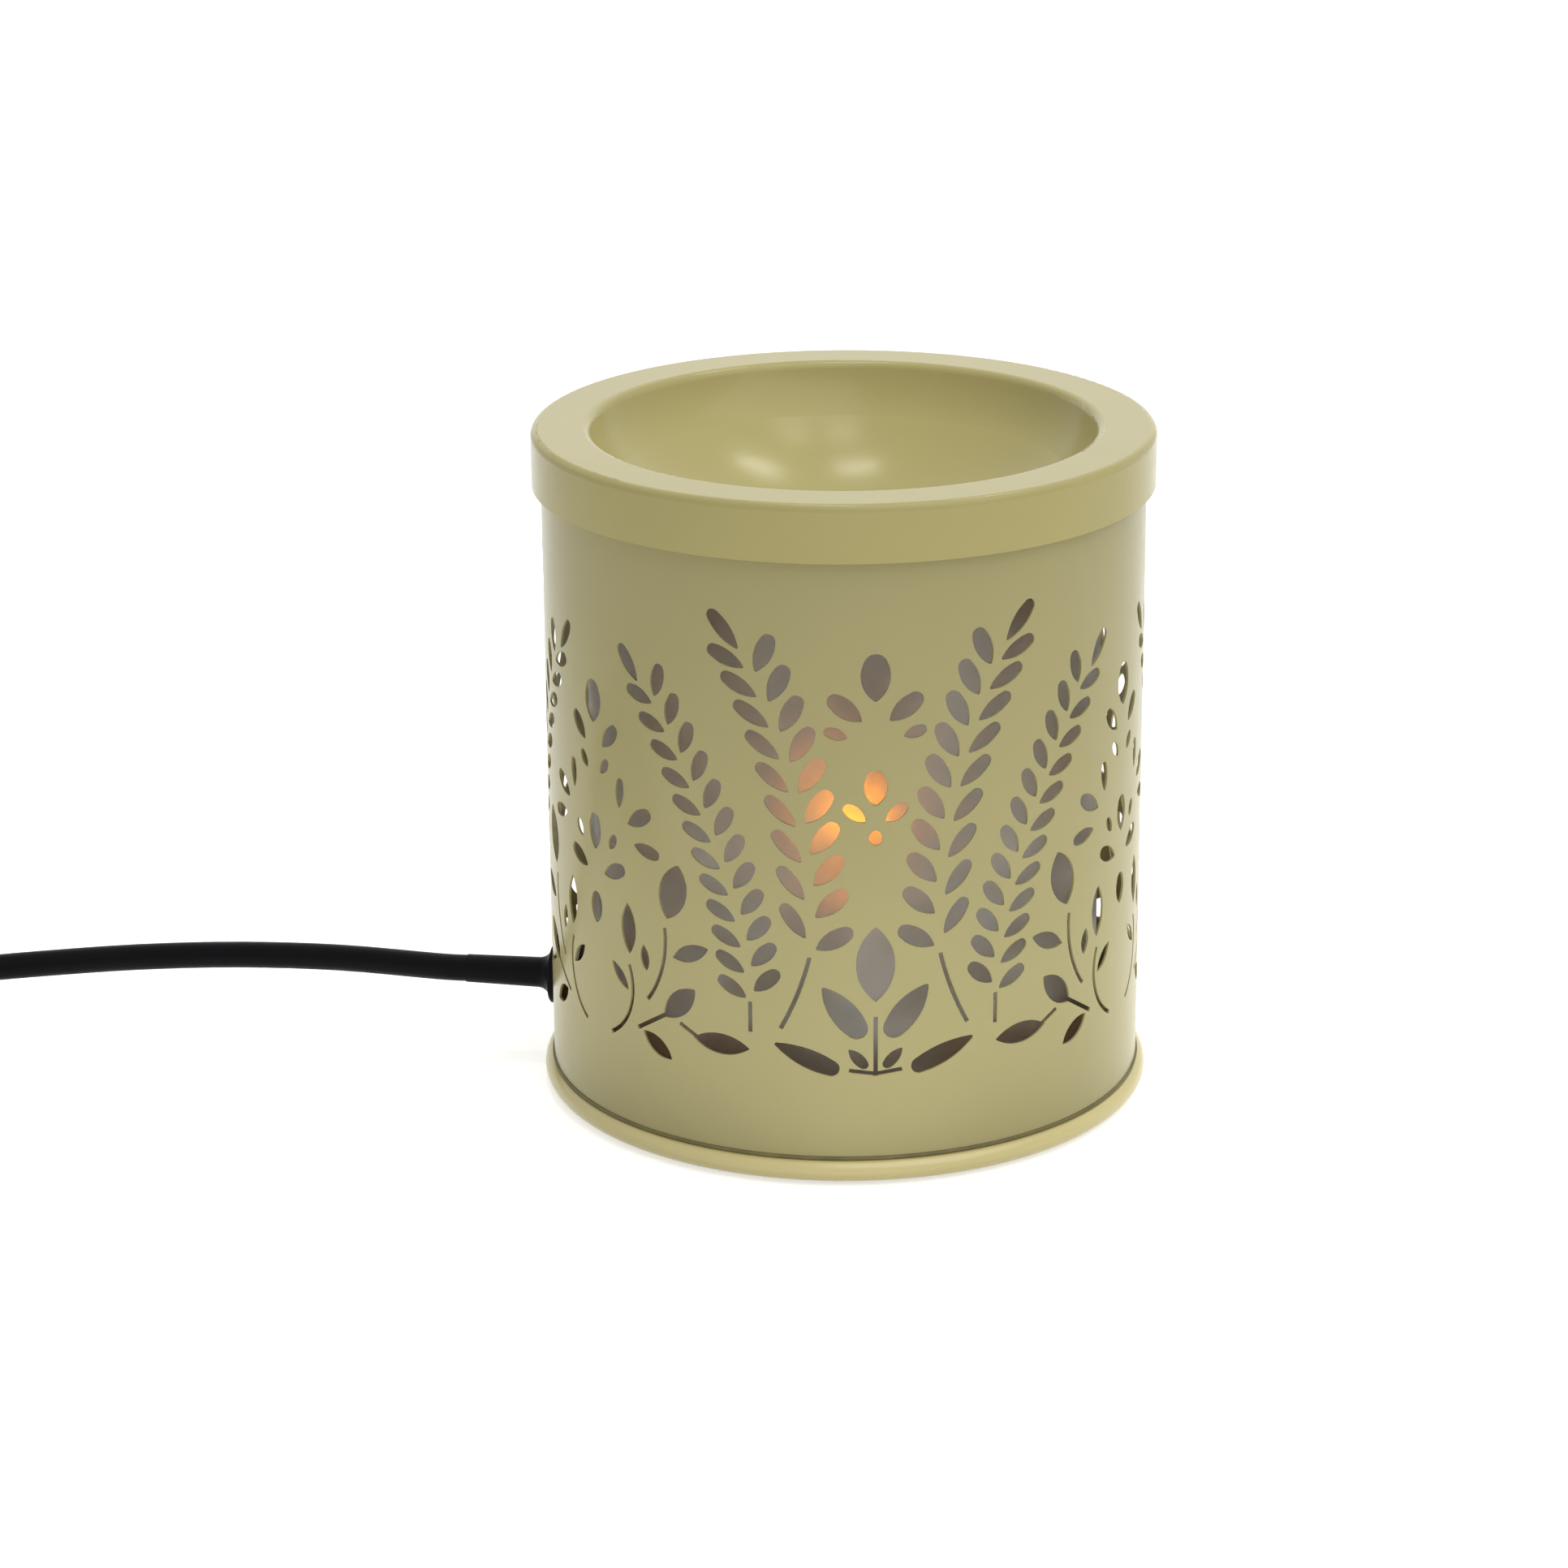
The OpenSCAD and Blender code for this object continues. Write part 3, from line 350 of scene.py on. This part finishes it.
class Finish:
    """A procedural material: one shader, with noise in its colour, gloss and surface."""

    def __init__(self, name, colour, roughness, metallic=0.0):
        self.slot = name
        self.material = bpy.data.materials.new(name + "_finish")
        self.material.use_nodes = True
        self.nodes = self.material.node_tree.nodes
        self.links = self.material.node_tree.links
        self.shader = self.nodes["Principled BSDF"]
        self.shader.inputs["Base Color"].default_value = (*colour, 1)
        self.shader.inputs["Roughness"].default_value = roughness
        self.shader.inputs["Metallic"].default_value = metallic
        self.colour = colour
        self.roughness = roughness
        self.place = self.nodes.new("ShaderNodeTexCoord").outputs["Object"]

    def noise(self, size_mm, detail=2.0):
        """Noise whose lumps are about size_mm across, as a value round 0.5."""
        node = self.nodes.new("ShaderNodeTexNoise")
        node.inputs["Scale"].default_value = 1 / (size_mm * MM)
        node.inputs["Detail"].default_value = detail
        self.links.new(self.place, node.inputs["Vector"])
        return node.outputs["Fac"]

    def spread(self, value, low, high):
        """Maps noise from its usual range to low..high."""
        node = self.nodes.new("ShaderNodeMapRange")
        node.inputs["From Min"].default_value = NOISE_LOW
        node.inputs["From Max"].default_value = NOISE_HIGH
        node.inputs["To Min"].default_value = low
        node.inputs["To Max"].default_value = high
        self.links.new(value, node.inputs["Value"])
        return node.outputs["Result"]

    def drift(self, size_mm, amount):
        """Slow lightening and darkening of the colour, by amount each way."""
        node = self.nodes.new("ShaderNodeMix")
        node.data_type = "RGBA"
        node.inputs["A"].default_value = (*[c * (1 - amount) for c in self.colour], 1)
        node.inputs["B"].default_value = (*[c * (1 + amount) for c in self.colour], 1)
        self.links.new(self.spread(self.noise(size_mm, 3.0), 0, 1), node.inputs["Factor"])
        self.links.new(node.outputs["Result"], self.shader.inputs["Base Color"])
        return self

    def uneven_gloss(self, size_mm, amount):
        """Roughness that varies by amount each way."""
        value = self.spread(self.noise(size_mm), self.roughness - amount, self.roughness + amount)
        self.links.new(value, self.shader.inputs["Roughness"])
        return self

    def grain(self, size_mm, depth_mm):
        """Fine lumps on the surface."""
        node = self.nodes.new("ShaderNodeBump")
        node.inputs["Distance"].default_value = depth_mm * MM
        self.links.new(self.noise(size_mm), node.inputs["Height"])
        self.links.new(node.outputs["Normal"], self.shader.inputs["Normal"])
        return self

    def set(self, **values):
        """Sets shader sockets by name, with _ for a space."""
        for name, value in values.items():
            self.shader.inputs[name.replace("_", " ")].default_value = value
        return self


def make_finishes():
    """One finish for each material slot of the record, two lighter copies of the sage paint that
    carry painted light, and the painted shade of the seam.
    """
    paints = []
    for name, colour, roughness, shine in (
        ("sage_paint", (0.416, 0.370, 0.174), 0.23, 0.19),
        # Lighter copies of the sage paint: painted light on the dish, and much more of it on the
        # bead of the base pan.
        ("dish_paint_painted_light", (0.474, 0.414, 0.172), 0.21, 0.19),
        ("bead_paint_painted_light", (0.70, 0.60, 0.265), 0.23, 0.7),
    ):
        paint = Finish(name, colour, roughness).set(Specular_IOR_Level=shine)
        paints.append(paint.drift(30, 0.02).uneven_gloss(8.0, 0.02).grain(1.2, 0.002))
    frosted = Finish("frosted_sheet", (0.81, 0.80, 0.76), 0.40)
    frosted.drift(12, 0.03).uneven_gloss(2.0, 0.04)
    frosted.set(Transmission_Weight=0.45, IOR=1.35)
    # Dark olive finish of the ring along the seam: painted shade.
    seam_shade_paint = Finish("painted_seam_shade", (0.15, 0.13, 0.05), 0.6)
    seam_shade_paint.drift(5, 0.2).grain(0.5, 0.02)
    rubber = Finish("foot_rubber", (0.03, 0.03, 0.03), 0.75)
    rubber.drift(3, 0.2).grain(0.4, 0.03)
    steel = Finish("zinc_steel", (0.62, 0.62, 0.6), 0.35, 1.0)
    steel.drift(4, 0.08).uneven_gloss(0.8, 0.1)
    ceramic = Finish("white_ceramic", (0.82, 0.8, 0.74), 0.3)
    ceramic.drift(6, 0.04).grain(1.5, 0.02)
    brass = Finish("brass", (0.72, 0.53, 0.25), 0.28, 1.0)
    brass.drift(4, 0.08).uneven_gloss(0.8, 0.08)
    glass = Finish("lamp_glass", (0.97, 0.97, 0.97), 0.02)
    glass.set(Transmission_Weight=1.0, IOR=1.45)
    # Painted amber glow on the clear glass of the bulb, besides the filament's own light.
    glass.set(Emission_Color=(1.0, 0.32, 0.005, 1), Emission_Strength=0.5)
    cap = Finish("cap_metal", (0.75, 0.75, 0.74), 0.3, 1.0)
    cap.drift(3, 0.06).uneven_gloss(0.6, 0.08)
    insulator = Finish("black_insulator", (0.03, 0.03, 0.035), 0.2)
    insulator.drift(2, 0.15)
    wire = Finish("hot_wire", (0.9, 0.55, 0.2), 0.4)
    wire.set(Emission_Color=(1.0, 0.42, 0.0, 1), Emission_Strength=70.0)
    cord = Finish("black_cord", (0.003, 0.003, 0.004), 0.42)
    cord.set(Specular_IOR_Level=0.07)
    cord.drift(6, 0.15).uneven_gloss(1.5, 0.06).grain(0.6, 0.02)
    case = Finish("black_case", (0.014, 0.014, 0.015), 0.42)
    case.set(Specular_IOR_Level=0.25)
    case.drift(6, 0.15).grain(0.35, 0.02)
    blue = Finish("blue_lead", (0.05, 0.14, 0.4), 0.35)
    blue.drift(4, 0.1)
    brown = Finish("brown_lead", (0.16, 0.07, 0.03), 0.35)
    brown.drift(4, 0.1)
    tie = Finish("tie_plastic", (0.05, 0.05, 0.05), 0.5)
    tie.drift(4, 0.1).grain(0.5, 0.02)
    finishes = (
        *paints, frosted, rubber, steel, ceramic, brass, glass, cap, insulator,
        wire, cord, case, blue, brown, tie, seam_shade_paint,
    )
    return {f.slot: f.material for f in finishes}


def dress(piece, material):
    piece.data.materials.clear()
    piece.data.materials.append(material)


def dress_nodes(frame, finishes):
    """Each CAD node gets its own finish, or else that of its slot."""
    for row in frame["record"]["subparts"]:
        node = frame["nodes"][row["node"]]
        dress(node, finishes[OWN_FINISH.get(row["node"], row["material_slot"])])


def seen_directly(nodes, links):
    """1 for the camera, in reflections and through glass, and 0 for light on the object."""
    path = nodes.new("ShaderNodeLightPath")
    value = path.outputs["Is Camera Ray"]
    for other in ("Is Glossy Ray", "Is Transmission Ray"):
        either = nodes.new("ShaderNodeMath")
        either.operation = "MAXIMUM"
        links.new(value, either.inputs[0])
        links.new(path.outputs[other], either.inputs[1])
        value = either.outputs["Value"]
    return value


def make_floor():
    """Pale floor, white to the camera and in reflections, that keeps a soft shadow."""
    data = bpy.data.meshes.new("floor")
    r = FLOOR_REACH
    data.from_pydata([(-r, -r, 0), (r, -r, 0), (r, r, 0), (-r, r, 0)], [], [(0, 1, 2, 3)])
    floor = bpy.data.objects.new("floor", data)
    floor.location.z = FLOOR_Z
    bpy.context.scene.collection.objects.link(floor)
    material = bpy.data.materials.new("pale_floor")
    material.use_nodes = True
    nodes, links = material.node_tree.nodes, material.node_tree.links
    shader = nodes["Principled BSDF"]
    shader.inputs["Base Color"].default_value = FLOOR_COLOUR
    shader.inputs["Roughness"].default_value = 0.9
    shader.inputs["Specular IOR Level"].default_value = 0.0
    shader.inputs["Emission Color"].default_value = (1, 1, 1, 1)
    glow = nodes.new("ShaderNodeMath")
    glow.operation = "MULTIPLY"
    glow.inputs[1].default_value = FLOOR_WHITE
    links.new(seen_directly(nodes, links), glow.inputs[0])
    links.new(glow.outputs["Value"], shader.inputs["Emission Strength"])
    data.materials.append(material)


def make_world():
    """White all round for the camera and for reflections, and a plain level for the light."""
    world = bpy.data.worlds.new("studio")
    bpy.context.scene.world = world
    world.use_nodes = True
    nodes, links = world.node_tree.nodes, world.node_tree.links
    background = nodes["Background"]
    background.inputs["Color"].default_value = (1, 1, 1, 1)
    level = nodes.new("ShaderNodeMapRange")
    level.inputs["To Min"].default_value = WORLD_LIGHT
    level.inputs["To Max"].default_value = WORLD_WHITE
    links.new(seen_directly(nodes, links), level.inputs["Value"])
    links.new(level.outputs["Result"], background.inputs["Strength"])


def make_panel(name, towards, distance, size, power, colour):
    """Soft light, wide by deep, that shines at the dish from that direction."""
    data = bpy.data.lights.new(name, "AREA")
    data.shape = "RECTANGLE"
    data.size, data.size_y = size
    data.energy = power
    data.color = colour
    light = bpy.data.objects.new(name, data)
    bpy.context.scene.collection.objects.link(light)
    way = Vector(towards).normalized()
    across = (Vector((1, 0, 0)) - way * way.x).normalized()
    turn = Matrix((across, way.cross(across), way)).transposed().to_4x4()
    light.matrix_world = Matrix.Translation(PANEL_AIM + way * distance) @ turn


def make_table_light():
    """Four strips of light round the base, for the light that a bright table sends up."""
    for quarter in range(4):
        data = bpy.data.lights.new("table_strip", "AREA")
        data.shape = "RECTANGLE"
        data.size, data.size_y = STRIP_WIDE + 2 * STRIP_HOLE, STRIP_WIDE
        data.energy = STRIP_POWER
        light = bpy.data.objects.new("table_strip", data)
        bpy.context.scene.collection.objects.link(light)
        light.visible_camera = False
        light.visible_glossy = False
        place = Matrix.Translation((-STRIP_WIDE / 2, -STRIP_HOLE - STRIP_WIDE / 2, STRIP_Z))
        face_up = Matrix.Rotation(math.pi, 4, "X")
        light.matrix_world = Matrix.Rotation(quarter * math.pi / 2, 4, "Z") @ place @ face_up


def make_lights():
    """The soft panels and the strips on the table."""
    for panel in PANELS:
        make_panel(*panel)
    make_table_light()


def main():
    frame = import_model()
    make_camera()
    cords = make_cords()
    sheath, wires = make_leads()
    filament = make_filament()
    seam = make_seam_shade()
    finishes = make_finishes()
    dress_nodes(frame, finishes)
    for piece in (*cords, sheath):
        dress(piece, finishes["black_cord"])
    dress(wires[0], finishes["blue_lead"])
    dress(wires[1], finishes["brown_lead"])
    dress(filament, finishes["hot_wire"])
    dress(seam, finishes["painted_seam_shade"])
    make_floor()
    make_world()
    make_lights()
    bpy.context.scene.view_settings.view_transform = "Standard"


main()
